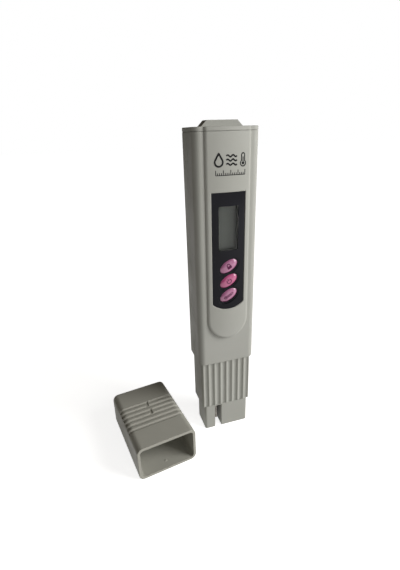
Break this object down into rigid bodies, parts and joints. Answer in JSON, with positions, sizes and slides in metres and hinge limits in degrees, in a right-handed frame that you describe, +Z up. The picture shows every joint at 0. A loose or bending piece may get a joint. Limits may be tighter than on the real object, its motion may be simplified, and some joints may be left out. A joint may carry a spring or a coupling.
{
  "type": "pen water tester",
  "caption": "Upright pen-type water tester with window, oval buttons, fluted neck, split probe end, battery drawer with pocket clip, and its ribbed cap lying beside it.",
  "frame": {"origin": "on the floor at the foot of the probe end, on the upright meter's own axis", "axes": "+Z up along the meter, display faces -Y, +X to the right as seen from the front"},
  "size_m": [0.0763, 0.0498, 0.1627],
  "materials": {
    "housing_plastic": "fine satin",
    "cap_plastic": "fine satin",
    "panel_plastic": "gloss",
    "button_plastic": "gloss",
    "lens": "clear gloss",
    "lcd_glass": "gloss",
    "inner_plastic": "matt",
    "electrode_metal": "satin",
    "contact_metal": "plated",
    "cell_steel": "satin",
    "screw_steel": "plated",
    "board": "solder mask",
    "epoxy": "cured resin",
    "contact_rubber": "matt",
    "chip_ceramic": "matt",
    "trimmer_plastic": "matt"
  },
  "bodies": {
    "meter": {"front_cover": "housing_plastic", "rear_cover": "housing_plastic", "probe_head": "housing_plastic", "front_electrode": "electrode_metal", "rear_electrode": "electrode_metal", "temperature_sensor": "electrode_metal", "sensor_leads": "contact_metal", "probe_seal": "epoxy", "button_panel": "panel_plastic", "display_lens": "lens", "hold_switch": "inner_plastic", "power_switch": "inner_plastic", "temperature_switch": "inner_plastic", "circuit_board": "board", "lcd_glass": "lcd_glass", "lcd_rim": "inner_plastic", "upper_contact_rubber": "contact_rubber", "lower_contact_rubber": "contact_rubber", "controller_blob": "epoxy", "crystal": "screw_steel", "board_components": "chip_ceramic", "trimmer_body": "trimmer_plastic", "board_screws": "screw_steel", "negative_contact": "contact_metal", "positive_contact": "contact_metal"},
    "hold_button": {"hold_button": "button_plastic"},
    "power_button": {"power_button": "button_plastic"},
    "temperature_button": {"temperature_button": "button_plastic"},
    "hold_plunger": {"hold_plunger": "inner_plastic"},
    "power_plunger": {"power_plunger": "inner_plastic"},
    "temperature_plunger": {"temperature_plunger": "inner_plastic"},
    "trimmer_screw": {"trimmer_screw": "contact_metal"},
    "battery_drawer": {"battery_cap": "housing_plastic", "battery_tray": "inner_plastic", "cell_bridge": "contact_metal", "lower_cell": "cell_steel", "upper_cell": "cell_steel"},
    "probe_cap": {"probe_cap": "cap_plastic"}
  },
  "joints": [
    {"name": "hold_button_press", "type": "slide", "parent": "meter", "child": "hold_button", "axis": [0, 1, 0], "range_m": [0, 0.00035], "stiffness_N_per_m": 600},
    {"name": "hold_plunger_press", "type": "slide", "parent": "meter", "child": "hold_plunger", "axis": [0, 1, 0], "range_m": [0, 0.00035]},
    {"name": "power_button_press", "type": "slide", "parent": "meter", "child": "power_button", "axis": [0, 1, 0], "range_m": [0, 0.00035], "stiffness_N_per_m": 600},
    {"name": "power_plunger_press", "type": "slide", "parent": "meter", "child": "power_plunger", "axis": [0, 1, 0], "range_m": [0, 0.00035]},
    {"name": "temperature_button_press", "type": "slide", "parent": "meter", "child": "temperature_button", "axis": [0, 1, 0], "range_m": [0, 0.00035], "stiffness_N_per_m": 600},
    {"name": "temperature_plunger_press", "type": "slide", "parent": "meter", "child": "temperature_plunger", "axis": [0, 1, 0], "range_m": [0, 0.00035]},
    {"name": "trimmer_turn", "type": "hinge", "parent": "meter", "child": "trimmer_screw", "pos_m": [0, 0, 0.072], "axis": [0, 1, 0], "range_deg": [-135, 135]},
    {"name": "battery_drawer_slide", "type": "slide", "parent": "meter", "child": "battery_drawer", "axis": [0, 0, 1], "range_m": [0, 0.036]},
    {"name": "probe_cap_slide", "type": "slide", "parent": "meter", "child": "probe_cap", "axis": [-0.1571, 0.9876, 0], "range_m": [0, 0.0442]}
  ],
  "couplings": [
    {"joint": "hold_plunger_press", "follows": "hold_button_press", "ratio": 1},
    {"joint": "power_plunger_press", "follows": "power_button_press", "ratio": 1},
    {"joint": "temperature_plunger_press", "follows": "temperature_button_press", "ratio": 1}
  ]
}
